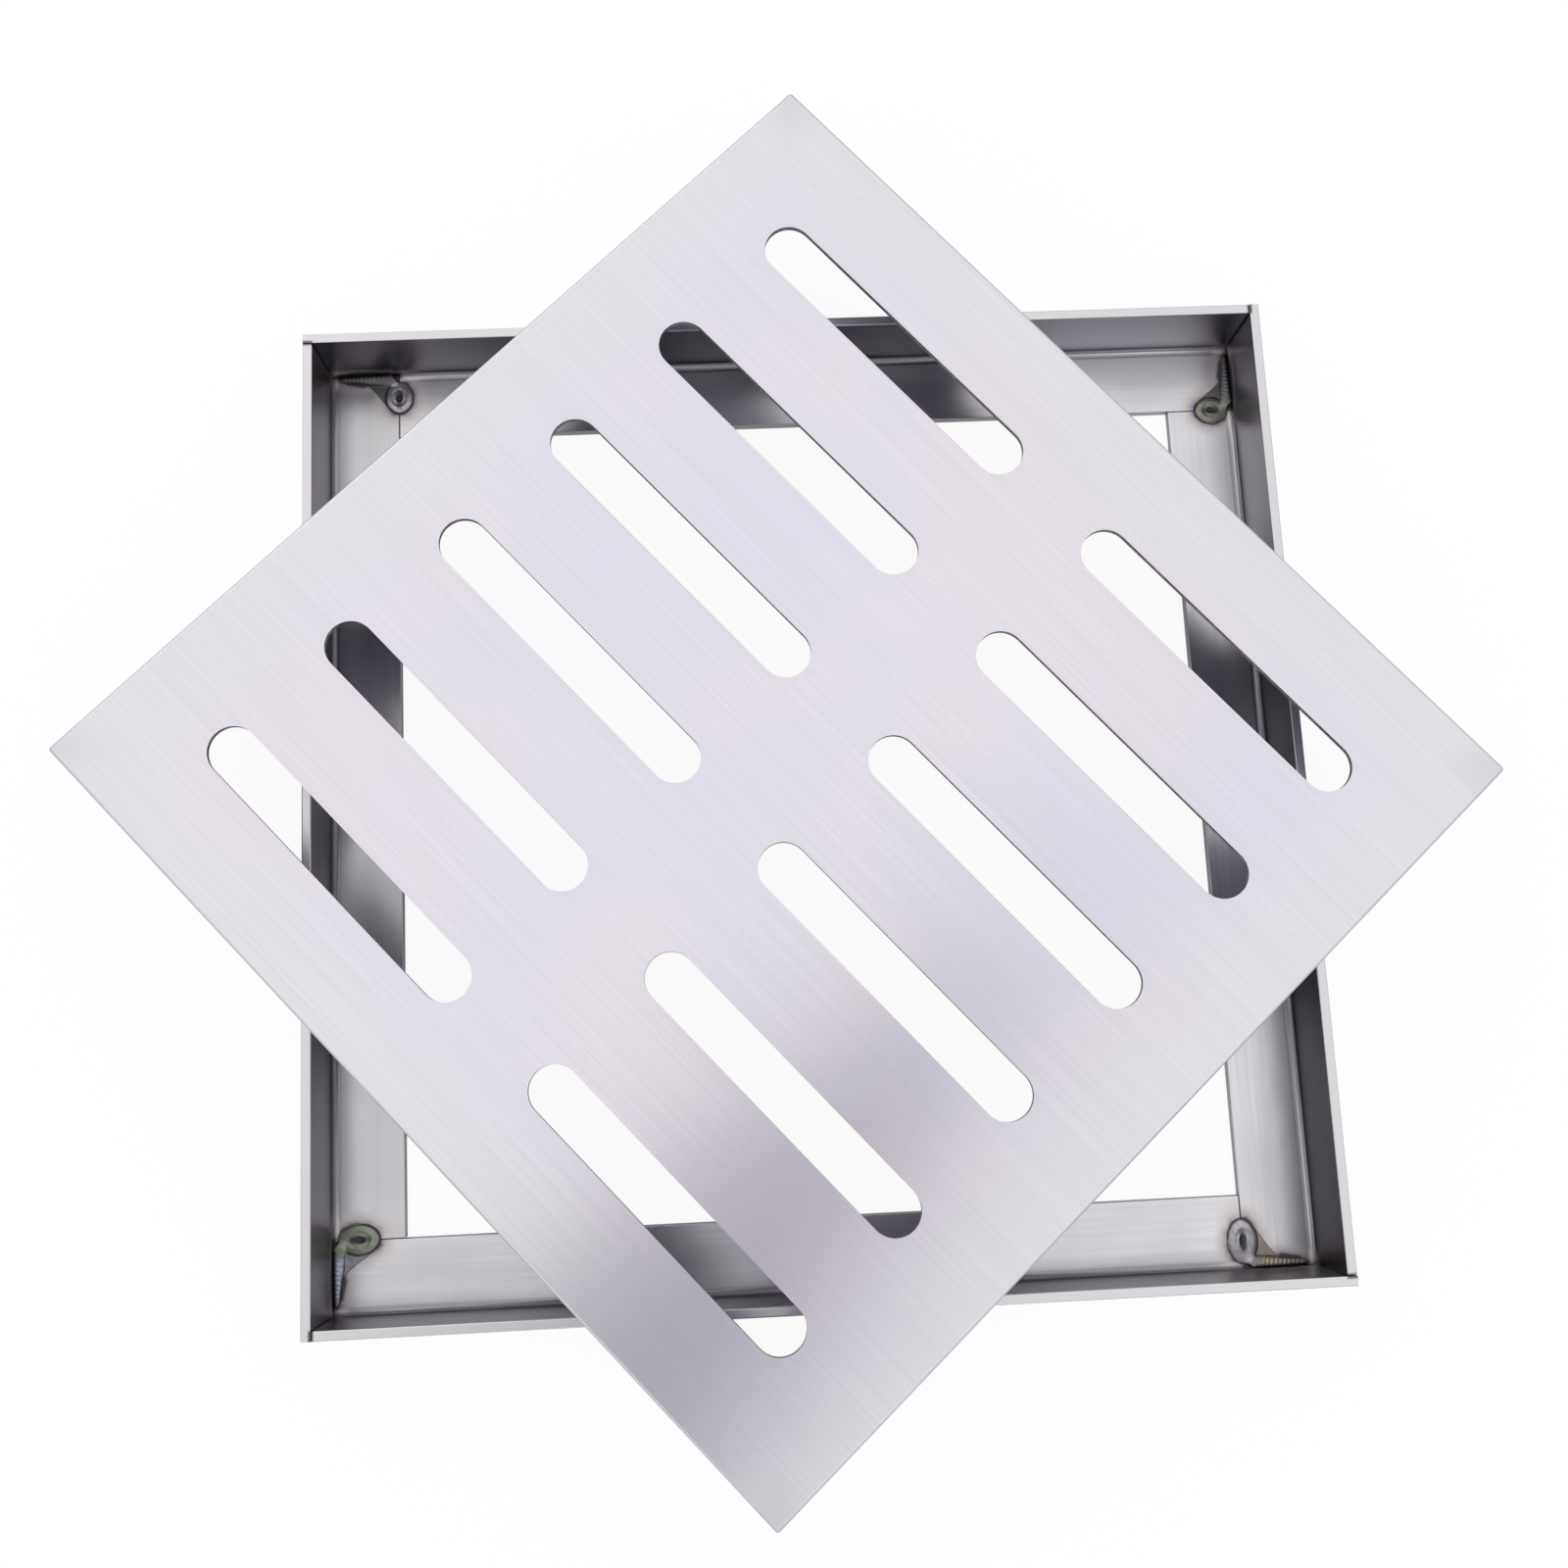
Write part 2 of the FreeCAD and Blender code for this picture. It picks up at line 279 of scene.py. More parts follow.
class FrameSteelSettings(bpy.types.PropertyGroup):
    """The frame's angles: mill finish, roll lines, the tints that welding leaves, and painted shade and
    highlight inside.
    """

    colour: colour_property("Sheet colour", "Colour of the mill finish", "#D8D6DA")
    dull_tint: colour_property("Dull tint", "Faint darker patches in the mill finish", "#BDBBBE")
    line_tint: colour_property("Line tint", "Darker roll lines in the mill finish", "#C6C3C7")
    # Painted shade: the inner face of the wall is painted darker, as the shade that falls on it
    wall_shade_colour: colour_property("Inner wall colour", "Duller film on the inner face of the wall", "#A9A6AE")
    # Painted shade: a dark line where the fold leaves the ledge, which damps the fold's highlight
    crease_shade_colour: colour_property("Crease colour", "Darker film where the fold leaves the ledge", "#8C8890")
    # Painted shade: a deeper shade on the inner walls, under the cover and towards the corners
    deep_shade_colour: colour_property("Smoke colour", "Film that the welds leave in the corners", "#5E5A60")
    soot_colour: colour_property("Soot colour", "Soot in the butt seams", "#6B666A")
    rim_colour: colour_property("Rim colour", "Colour of the sheared rim", "#CFCCCF")
    # Painted highlight: the ledge beside the bend is painted lighter
    bend_highlight_colour: colour_property("Bend colour", "Ledge burnished along the bend by the press tool", "#F2F1F4")
    burnt_colour: colour_property("Burnt colour", "Scale right beside a weld", "#69636B")
    violet_colour: colour_property("Violet colour", "Heat tint next to the scale", "#B4ADB6")
    rose_colour: colour_property("Rose colour", "Heat tint further out", "#D4C9C9")
    straw_colour: colour_property("Straw colour", "Heat tint furthest out", "#D6D3C9")
    dull_shares: four_shares("Dull shares", "How much of the darker tint each bar has", 0.0, 0.7, 0.0, 0.0)
    # Painted shade on the inner face of each wall, as a share for each wall
    wall_shade_shares: four_shares("Film shares", "Film on the inner face of each wall", 1.0, 0.85, 0.35, 1.0)
    # Painted shade: how deep it is at each end of each wall, where it turns and over what length
    own_end_shade_shares: four_shares("Own smoke", "Smoke on each wall by its own weld", 0.75, 0.0, 0.5, 0.1)
    butt_end_shade_shares: four_shares("Butt smoke", "Smoke on each wall where it butts", 0.1, 0.0, 0.2, 0.85)
    shade_turns: four_lengths("Smoke turns", "From each wall's middle to its change of smoke", 50, 0, 0, -65)
    shade_turn_reach: length_property("Smoke reach", "Length over which one smoke share turns into the other", 50)
    soot_width: length_property("Soot width", "Width of the soot beside a butt seam", 1.2)
    # Painted highlight beside the bend: its strength on each ledge and its reach from the wall
    bend_highlight_shares: four_shares("Bend shares", "How burnished each ledge is by its bend", 1.0, 0.5, 0.25, 1.0)
    bend_highlight_reach: length_property("Bend reach", "How far the burnished band reaches from the wall", 13)
    roughness: share_property("Roughness", "Roughness of the mill finish", 0.30)
    grazing: share_property("Grazing", "How much light the mill finish gives back at a low angle", 0.45)
    roll_width: length_property("Roll line width", "Width of one roll line, drawn coarser than it is", 1.1)
    roll_length: length_property("Roll line length", "Length of one roll line", 70)
    patch_size: length_property("Patch size", "Size of the faint dull patches", 35)


class WeldSettings(bpy.types.PropertyGroup):
    """The corner beads: a puddle over the ledge's seam and a run along the foot of the wall."""

    puddle_lengths: four_lengths(
        "Puddle lengths", "Length of each puddle, square to the wall", 11.6, 13.4, 14.2, 11.6, min=0
    )
    puddle_offsets: four_lengths(
        "Puddle offsets", "From the wall to the middle of each puddle", 8.0, 7.8, 8.1, 7.2, min=0
    )
    puddle_width: length_property("Puddle width", "Width of a puddle, along the wall", 9.8)
    puddle_height: length_property("Puddle height", "Height of a puddle over the ledge", 1.2)
    crater_width: length_property("Crater width", "Width of the slit-like crater, along the wall", 2.4)
    crater_share: share_property("Crater length", "Length of the crater as a share of its puddle", 0.52)
    run_start: length_property("Run start", "From the corner to the tip of the run", 2.2)
    run_tip_leg: length_property("Run tip leg", "Leg of the run at its tip", 2.0)
    run_leg: length_property("Run leg", "Leg of the run where it meets the puddle", 4.5)
    run_tip_height: length_property("Run tip height", "Height of the run at its tip", 0.9)
    run_height: length_property("Run height", "Height of the run where it meets the puddle", 2.0)
    ripple_pitch: length_property("Ripple pitch", "From one ripple of the run to the next", 1.4)
    ripple_depth: length_property("Ripple depth", "Depth of a ripple", 0.07)
    scale_width: length_property("Scale width", "Width of the dark scale at the toe of the bead", 0.8)
    # Black along the wall side of the bead, where it meets the wall
    wall_side_colour: colour_property("Scale colour", "Black scale between the run and the wall", "#1E1B21")
    crater_colour: colour_property("Crater colour", "Dark crater where the puddle froze last", "#3A3942")
    ring_1: colour_property("First ring", "Ring of the first puddle", "#A9A7AE")
    ring_2: colour_property("Second ring", "Ring of the second puddle", "#8D9384")
    ring_3: colour_property("Third ring", "Ring of the third puddle", "#B4B1B6")
    ring_4: colour_property("Fourth ring", "Ring of the fourth puddle", "#8A8A80")
    toe_1: colour_property("First toe", "Line at the toe of the first bead", "#6A656D")
    toe_2: colour_property("Second toe", "Line at the toe of the second bead", "#77796A")
    toe_3: colour_property("Third toe", "Line at the toe of the third bead", "#8A878D")
    toe_4: colour_property("Fourth toe", "Line at the toe of the fourth bead", "#77776E")
    run_1: colour_property("First run", "Face of the first run", "#66675F")
    run_2: colour_property("Second run", "Face of the second run", "#A3A8B4")
    run_3: colour_property("Third run", "Face of the third run", "#A89C8E")
    run_4: colour_property("Fourth run", "Face of the fourth run", "#6F6E72")


class StageSettings(bpy.types.PropertyGroup):
    """The floor, the light and the camera."""

    floor_colour: colour_property("Floor colour", "Colour of the pale floor", "#F4F4F5")
    sky_colour: colour_property("Light overhead", "Colour of the light from straight above", "#FFFFFF")
    horizon_colour: colour_property("Light from the sides", "Colour of the light at the horizon", "#A9AAAE")
    card_colour: colour_property("Card colour", "Colour of the grey card beside the lens", "#B1AFBA")
    floor_half: length_property("Floor reach", "From the middle to the edge of the floor", 6000)
    card_width: length_property("Card width", "Width of the grey card at its wide end", 212)
    card_depth: length_property("Card depth", "Depth of the grey card beside the lens", 498)
    card_taper: share_property("Card taper", "Narrow end of the card as a share of its wide end", 0.25)
    card_place: place_property("Card place", "From the lens to the middle of the grey card", 89, -130, 20)
    card_slant: FloatProperty(
        name="Card slant", description="Turn of the grey card away from the cover's grain", subtype="ANGLE",
        default=math.radians(-5)
    )
    softbox_size: length_property("Softbox size", "Side of the square soft lamp", 2600)
    softbox_power: FloatProperty(
        name="Softbox power", description="Power of the soft lamp", unit="POWER", min=0, default=8
    )
    softbox_place: place_property("Softbox place", "Where the soft lamp hangs", -2600, 400, 1500)
    camera_place: place_property("Camera place", "Where the lens stands", 41.98, -70.67, 514.9)
    camera_aim: place_property("Camera aim", "Point at the middle of the picture", -6.91, -4.02, 30.0)
    picture_up: FloatProperty(
        name="Picture up", description="Direction on the floor that points up in the picture, from X",
        subtype="ANGLE", default=math.radians(135.5)
    )
    lens: FloatProperty(name="Lens", description="Focal length", unit="CAMERA", min=1, default=36.78)


def brushed_grain(tree, settings, place, facing):
    """Brushed lines along the slots on the face, and down the two sides that the lines fold over.

    Real lines are about a tenth of a millimetre, too fine to show, so they are drawn coarser.
    """
    width = settings.grain_width * PER_MM
    length = settings.grain_length * PER_MM
    face_grain, side_grain = [
        add(tree, "TexNoise", {
            "Vector": add(tree, "Mapping", {
                "Vector": place, "Scale": (1 / length, 1 / width, 1 / height)
            }),
            "Scale": 1.0, "Detail": 1.5, "Roughness": 0.6
        })
        for height in (width, length)
    ]
    return add(tree, "Mix", {
        MIX_SHARE: facing.outputs["X"], MIX_FLOAT_A: face_grain, MIX_FLOAT_B: side_grain
    })


def tinted_face(tree, settings, place, furthest, grain):
    """The face's colour: faint patches as large as a palm, a plainer tint at the borders, and the grain."""
    half = COVER_HALF * PER_MM
    patches = add(tree, "TexNoise", {
        "Vector": place, "Scale": 1 / (settings.patch_size * PER_MM), "Detail": 2.0, "Roughness": 0.5
    })
    patched = add(tree, "ValToRGB", {"Fac": patches}, stops=[
        (0.34, opaque(settings.cool_tint)),
        (0.50, opaque(settings.colour)),
        (0.66, opaque(settings.warm_tint)),
    ])
    bordered = add(tree, "Mix", {
        MIX_SHARE: add(tree, "MapRange", {
            "Value": furthest, "From Min": half - settings.edge_reach * PER_MM, "From Max": half
        }, **SMOOTH),
        MIX_COLOUR_A: patched, MIX_COLOUR_B: opaque(settings.edge_tint)
    }, data_type="RGBA")
    return add(tree, "Mix", {
        MIX_SHARE: add(tree, "MapRange", {"Value": grain, **WIDE_SPAN, "To Max": GRAIN_SHARE}),
        MIX_COLOUR_A: bordered, MIX_COLOUR_B: opaque(settings.ground_colour)
    }, data_type="RGBA")


def laser_cut_wall(tree, settings, place):
    """The slot walls' colour: laser streaks run down them about three to the millimetre, drawn at one."""
    streaks = add(tree, "TexNoise", {
        "Vector": add(tree, "Mapping", {"Vector": place, "Scale": STREAK_SCALE}),
        "Scale": 1.0, "Detail": 2.0
    })
    return add(tree, "ValToRGB", {"Fac": streaks}, stops=[
        (0.35, opaque([c * CUT_SHADE for c in settings.cut_colour])),
        (0.65, opaque(settings.cut_colour)),
    ])


def cloudy_skin(tree, settings, place):
    """The colour inside the tray, which was never brushed and keeps the dull, cloudy skin of the mill."""
    clouds = add(tree, "TexNoise", {
        "Vector": place, "Scale": 1 / (settings.cloud_size * PER_MM), "Detail": 4.0, "Roughness": 0.6
    })
    return add(tree, "ValToRGB", {"Fac": clouds}, stops=[
        (0.35, opaque([c * SKIN_DARK for c in settings.skin_colour])),
        (0.65, opaque([c * SKIN_PALE for c in settings.skin_colour])),
    ])


def brushed_cover_steel(settings):
    """Stainless sheet with a satin, machine-brushed face, its slots cut by laser and its corners ground.

    The grain runs along the slots, so a reflection smears across them and the face looks even and pale.
    Slot walls are dull and streaked, and the ground corners are a little duller than the face.
    """
    material, tree = new_material("brushed_stainless_sheet")
    place = add(tree, "Mapping", {
        "Vector": add(tree, "TexCoord", output="Object"),
        "Location": (-COVER_MIDDLE.x * PER_MM, -COVER_MIDDLE.y * PER_MM, 0),
        "Scale": (PER_MM,) * 3
    })
    normal = add(tree, "NewGeometry", output="Normal")
    facing = add(tree, "SeparateXYZ", {
        "Vector": add(tree, "VectorMath", {0: normal}, operation="ABSOLUTE")
    }).node
    grain = brushed_grain(tree, settings, place, facing)

    # How far a point is from the two middle lines tells the borders, the ground corners and the slot walls
    away = add(tree, "SeparateXYZ", {
        "Vector": add(tree, "VectorMath", {0: place}, operation="ABSOLUTE")
    }).node
    nearest, furthest = [
        add(tree, "Math", {0: away.outputs["X"], 1: away.outputs["Y"]}, operation=choice)
        for choice in ("MINIMUM", "MAXIMUM")
    ]
    half = COVER_HALF * PER_MM
    ground = add(tree, "MapRange", {
        "Value": nearest, "To Max": GROUND_SHARE,
        "From Min": half - settings.ground_reach * PER_MM, "From Max": half
    }, **SMOOTH)
    upright = add(tree, "Math", {0: facing.outputs["Z"], 1: STEEP_SLOPE}, operation="LESS_THAN")
    inside = add(tree, "Math", {0: furthest, 1: half - SLOT_MARGIN}, operation="LESS_THAN")
    cut = add(tree, "Math", {0: upright, 1: inside}, operation="MULTIPLY")

    # Inside the tray are the faces that look down and the upright ones within the skirt
    downward = add(tree, "Math", {
        0: add(tree, "SeparateXYZ", {"Vector": normal}, "Z"), 1: DOWNWARD_SLOPE
    }, operation="LESS_THAN")
    inner_side = add(tree, "Math", {
        0: upright,
        1: add(tree, "Math", {0: furthest, 1: half - SKIN_MARGIN}, operation="LESS_THAN")
    }, operation="MULTIPLY")
    skin = add(tree, "Math", {0: downward, 1: inner_side}, operation="MAXIMUM")

    colour = tinted_face(tree, settings, place, furthest, grain)
    layers = (
        (ground, opaque(settings.ground_colour)),
        (skin, cloudy_skin(tree, settings, place)),
        (cut, laser_cut_wall(tree, settings, place)),
    )
    for share, layer in layers:
        colour = add(tree, "Mix", {
            MIX_SHARE: share, MIX_COLOUR_A: colour, MIX_COLOUR_B: layer
        }, data_type="RGBA")

    # The grain varies the roughness a little, and cut, ground and unbrushed steel is rougher
    face_rough = add(tree, "MapRange", {
        "Value": grain, **WIDE_SPAN,
        "To Min": settings.roughness - ROUGH_SWING, "To Max": settings.roughness + ROUGH_SWING
    })
    worked = add(tree, "Math", {0: cut, 1: ground}, operation="MAXIMUM")
    dull = add(tree, "Math", {0: worked, 1: skin}, operation="MAXIMUM")
    rough = add(tree, "Mix", {
        MIX_SHARE: dull, MIX_FLOAT_A: face_rough, MIX_FLOAT_B: settings.roughness + WORKED_ROUGH
    })

    # The sheet is never quite flat: a slow swell, and the fine grain on top of it
    swell = add(tree, "TexNoise", {
        "Vector": place, "Scale": SWELLS_PER_PATCH / (settings.patch_size * PER_MM), "Detail": 1.0
    })
    swelled = add(tree, "Bump", {"Height": swell, "Strength": 1.0, "Distance": 1.2 * MM})
    grained = add(tree, "Bump", {
        "Height": grain, "Strength": 0.05, "Distance": 0.02 * MM, "Normal": swelled
    })

    # A reflection spreads across the grain. It runs along X on the face, and the small share of Z turns it
    # down the end sides, where X points straight out.
    across = add(tree, "VectorMath", {0: normal, 1: GRAIN_DIRECTION}, operation="CROSS_PRODUCT")
    shader = add(tree, "BsdfPrincipled", {
        "Base Color": colour, "Metallic": 1.0, "Roughness": rough, "Normal": grained,
        "Anisotropic": settings.stretch, "Tangent": across,
        "Specular Tint": opaque((settings.grazing,) * 3)
    })
    add(tree, "OutputMaterial", {"Surface": shader})
    return material


def rolled_sheet(tree, settings, side, patches, lines):
    """The mill sheet's colour: faint dull patches and darker roll lines along the bar."""
    dull = settings.dull_shares[side]
    patched = add(tree, "Mix", {
        MIX_SHARE: add(tree, "MapRange", {
            "Value": patches, **NARROW_SPAN, "To Min": dull, "To Max": dull + PATCH_SHARE
        }),
        MIX_COLOUR_A: opaque(settings.colour), MIX_COLOUR_B: opaque(settings.dull_tint)
    }, data_type="RGBA")
    return add(tree, "Mix", {
        MIX_SHARE: add(tree, "MapRange", {"Value": lines, **NARROW_SPAN, "To Max": ROLL_SHARE}),
        MIX_COLOUR_A: patched, MIX_COLOUR_B: opaque(settings.line_tint)
    }, data_type="RGBA")


def painted_fold_shading(tree, settings, side, local, inside):
    """Shares of the painted highlight beside the bend, the painted dark line in the fold and the painted
    shade on the wall, on the inside of the angle.

    The ledge beside the bend is painted lighter, as a highlight. The fold is painted with a dark line where
    it leaves the ledge, and the inner face of the wall is painted darker, as shade.
    """
    inner = INNER_HALF * PER_MM
    foot = LEDGE_TOP * PER_MM
    fold = FOLD_RADIUS * PER_MM
    bend_highlight_reach = settings.bend_highlight_reach * PER_MM
    # Painted highlight on the ledge beside the bend
    bend_highlight = add(tree, "MapRange", {
        "Value": local.outputs["Y"], "To Max": settings.bend_highlight_shares[side],
        "From Min": inner - bend_highlight_reach, "From Max": inner - bend_highlight_reach * FULL_SHARE
    }, **SMOOTH)
    # Painted shade in the fold, which damps its highlight where it leaves the ledge
    into_fold = add(tree, "MapRange", {
        "Value": local.outputs["Y"],
        "From Min": inner - fold * CREASE_START[0], "From Max": inner - fold * CREASE_START[1]
    }, **SMOOTH)
    out_of_fold = add(tree, "MapRange", {
        "Value": local.outputs["Y"], "To Min": 1.0, "To Max": 0.0,
        "From Min": inner - fold * CREASE_END[0], "From Max": inner - fold * CREASE_END[1]
    }, **SMOOTH)
    fold_shade = add(tree, "Math", {0: into_fold, 1: out_of_fold}, operation="MULTIPLY")
    # Painted shade on the inner face of the wall, rising from the fold, with a share for each wall
    shade_up_wall = add(tree, "MapRange", {
        "Value": local.outputs["Z"],
        "From Min": foot + fold * WALL_SHADE_START[0], "From Max": foot + fold * WALL_SHADE_START[1]
    }, **SMOOTH)
    wall_shade = add(tree, "Math", {0: shade_up_wall, 1: settings.wall_shade_shares[side]}, operation="MULTIPLY")
    return [
        add(tree, "Math", {0: mark, 1: inside}, operation="MULTIPLY")
        for mark in (bend_highlight, fold_shade, wall_shade)
    ]


def painted_wall_shade(tree, settings, side, local):
    """Colour of the painted shade on the inner wall, which deepens from one share to another along the wall.
    """
    turn = settings.shade_turns[side] * PER_MM
    half = settings.shade_turn_reach * PER_MM / 2
    # Painted deeper shade, from its share at the own end to its share at the butt end
    deep_shade = add(tree, "MapRange", {
        "Value": local.outputs["X"], "From Min": turn - half, "From Max": turn + half,
        "To Min": settings.own_end_shade_shares[side], "To Max": settings.butt_end_shade_shares[side]
    }, **SMOOTH)
    return add(tree, "Mix", {
        MIX_SHARE: deep_shade,
        MIX_COLOUR_A: opaque(settings.wall_shade_colour), MIX_COLOUR_B: opaque(settings.deep_shade_colour)
    }, data_type="RGBA")


def seam_soot(tree, settings, local):
    """Share of soot in the butt seams: on the bar's own end, and on its wall where the next bar meets it."""
    inner = INNER_HALF * PER_MM
    width = settings.soot_width * PER_MM
    core = width * FULL_SHARE
    own_end = add(tree, "MapRange", {
        "Value": local.outputs["X"], "From Min": inner - width, "From Max": inner - core
    }, **SMOOTH)
    met_end = add(tree, "Math", {
        0: add(tree, "MapRange", {
            "Value": local.outputs["X"], "From Min": MET_SPAN[0] - inner, "From Max": MET_SPAN[1] - inner
        }),
        1: add(tree, "MapRange", {
            "Value": local.outputs["Y"], "From Min": inner + width, "From Max": inner + core
        }, **SMOOTH)
    }, operation="MULTIPLY")
    return add(tree, "Math", {0: own_end, 1: met_end}, operation="MAXIMUM")


def weld_heat(tree, welds, side, place):
    """How far the heat of the welds had spent itself, from 0 at the scale to 1 where the steel stayed cold.

    Each weld warms an egg-shaped zone round its puddle and one round its run. One weld is the bar's own, and
    the other belongs to the neighbour that the bar butts on.
    """
    inner = INNER_HALF * PER_MM
    foot = LEDGE_TOP * PER_MM
    seam = inner - (LEDGE_REACH + SEAM_GAP / 2) * PER_MM
    own_offset = inner - welds.puddle_offsets[side] * PER_MM
    own_half = welds.puddle_lengths[side] * PER_MM / 2
    next_offset = inner - welds.puddle_offsets[side - 1] * PER_MM
    next_half = welds.puddle_lengths[side - 1] * PER_MM / 2
    wide_half = welds.puddle_width * PER_MM / 2
    run_middle = inner - (welds.run_start + LEDGE_REACH) * PER_MM / 2
    run_half = (LEDGE_REACH - welds.run_start) * PER_MM / 2 + RUN_MARGIN
    run_leg = welds.run_leg * PER_MM - RUN_MARGIN
    zones = (
        ((-seam, own_offset, foot), (wide_half, own_half, WARM_HEIGHT)),
        ((-run_middle, inner, foot), (run_half, run_leg, WARM_HEIGHT)),
        ((next_offset, seam, foot), (next_half, wide_half, WARM_HEIGHT)),
        ((inner, run_middle, foot), (run_leg, run_half, WARM_HEIGHT)),
    )
    distances = [
        add(tree, "VectorMath", {
            0: add(tree, "Mapping", {
                "Vector": place,
                "Location": tuple(-c / h for c, h in zip(centre, halves)),
                "Scale": tuple(1 / h for h in halves)
            })
        }, operation="LENGTH")
        for centre, halves in zones
    ]
    warmth = distances[0]
    for distance in distances[1:]:
        warmth = add(tree, "Math", {0: warmth, 1: distance}, operation="MINIMUM")
    rags = add(tree, "MapRange", {
        "Value": add(tree, "TexNoise", {"Vector": place, "Scale": RAGS_PER_MM}),
        "To Min": -WARM_RAGGED, "To Max": WARM_RAGGED
    })
    ragged = add(tree, "Math", {0: warmth, 1: rags}, operation="ADD")
    return add(tree, "MapRange", {"Value": ragged, **WARM_SPAN})


def mill_frame_steel(settings, welds, side):
    """Folded stainless angle in mill finish, with the heat tints that its two corner welds leave.

    Mill finish has no brushed grain, so the ledge mirrors the wall beside it. Faint roll lines run along the
    bar, the sheared rim is paler, and each weld has dark scale at its toe, then violet, rose and straw.
    """
    material, tree = new_material("mill_stainless_angle_%d" % (side + 1))

    # In the bar's own axes the wall stands at plus Y. At plus X the bar butts on its neighbour, and at minus
    # X it has its own weld, where the next bar butts on it.
    place = add(tree, "Mapping", {
        "Vector": add(tree, "TexCoord", output="Object"),
        "Rotation": (0, 0, -(FRAME_TURN + side * QUARTER_TURN)), "Scale": (PER_MM,) * 3
    })
    local = add(tree, "SeparateXYZ", {"Vector": place}).node
    inner_face = add(tree, "Math", {
        0: local.outputs["Y"], 1: INNER_HALF * PER_MM + WALL_MARGIN
    }, operation="LESS_THAN")
    upper_side = add(tree, "Math", {
        0: local.outputs["Z"], 1: LEDGE_TOP * PER_MM - LEDGE_MARGIN
    }, operation="GREATER_THAN")
    inside = add(tree, "Math", {0: inner_face, 1: upper_side}, operation="MULTIPLY")

    width = settings.roll_width * PER_MM
    length = settings.roll_length * PER_MM
    lines = add(tree, "TexNoise", {
        "Vector": add(tree, "Mapping", {"Vector": place, "Scale": (1 / length, 1 / width, 1 / width)}),
        "Scale": 1.0, "Detail": 3.0, "Roughness": 0.6
    })
    patches = add(tree, "TexNoise", {
        "Vector": place, "Scale": 1 / (settings.patch_size * PER_MM), "Detail": 3.0
    })
    rim_top = WALL_TOP * PER_MM
    at_rim = add(tree, "MapRange", {
        "Value": local.outputs["Z"], "From Min": rim_top - RIM_SPAN[0], "From Max": rim_top - RIM_SPAN[1]
    })
    bend_highlight, fold_shade, wall_shade = painted_fold_shading(tree, settings, side, local, inside)
    colour = rolled_sheet(tree, settings, side, patches, lines)
    # Layers over the mill sheet: the painted highlight beside the bend, painted shade in the fold and on the
    # inner wall, the sheared rim and soot in the seams
    layers = (
        (bend_highlight, opaque(settings.bend_highlight_colour)),
        (fold_shade, opaque(settings.crease_shade_colour)),
        (wall_shade, painted_wall_shade(tree, settings, side, local)),
        (at_rim, opaque(settings.rim_colour)),
        (seam_soot(tree, settings, local), opaque(settings.soot_colour)),
    )
    for share, layer in layers:
        colour = add(tree, "Mix", {
            MIX_SHARE: share, MIX_COLOUR_A: colour, MIX_COLOUR_B: layer
        }, data_type="RGBA")

    # Only the inside of the angle shows the heat
    heat = weld_heat(tree, welds, side, place)
    tint = add(tree, "ValToRGB", {"Fac": heat}, stops=[
        (0.0, opaque(settings.burnt_colour)),
        (0.10, opaque(settings.violet_colour)),
        (0.30, opaque(settings.rose_colour)),
        (0.65, opaque(settings.straw_colour)),
    ])
    clean = add(tree, "Math", {
        0: add(tree, "MapRange", {"Value": heat, "From Max": COOL_SHARE}, **SMOOTH),
        1: add(tree, "Math", {0: 1.0, 1: inside}, operation="SUBTRACT")
    }, operation="MAXIMUM")
    tinted = add(tree, "Mix", {
        MIX_SHARE: clean, MIX_COLOUR_A: tint, MIX_COLOUR_B: colour
    }, data_type="RGBA")

    rough = add(tree, "MapRange", {
        "Value": lines, **WIDE_SPAN,
        "To Min": settings.roughness - ROUGH_SWING, "To Max": settings.roughness + ROUGH_SWING
    })
    scaled = add(tree, "Mix", {
        MIX_SHARE: clean, MIX_FLOAT_A: settings.roughness + SCALE_ROUGH, MIX_FLOAT_B: rough
    })
    swelled = add(tree, "Bump", {"Height": patches, "Strength": 1.0, "Distance": 0.25 * MM})
    lined = add(tree, "Bump", {
        "Height": lines, "Strength": 0.04, "Distance": 0.02 * MM, "Normal": swelled
    })
    shader = add(tree, "BsdfPrincipled", {
        "Base Color": tinted, "Metallic": 1.0, "Roughness": scaled, "Normal": lined,
        "Specular Tint": opaque((settings.grazing,) * 3)
    })
    add(tree, "OutputMaterial", {"Surface": shader})
    return material


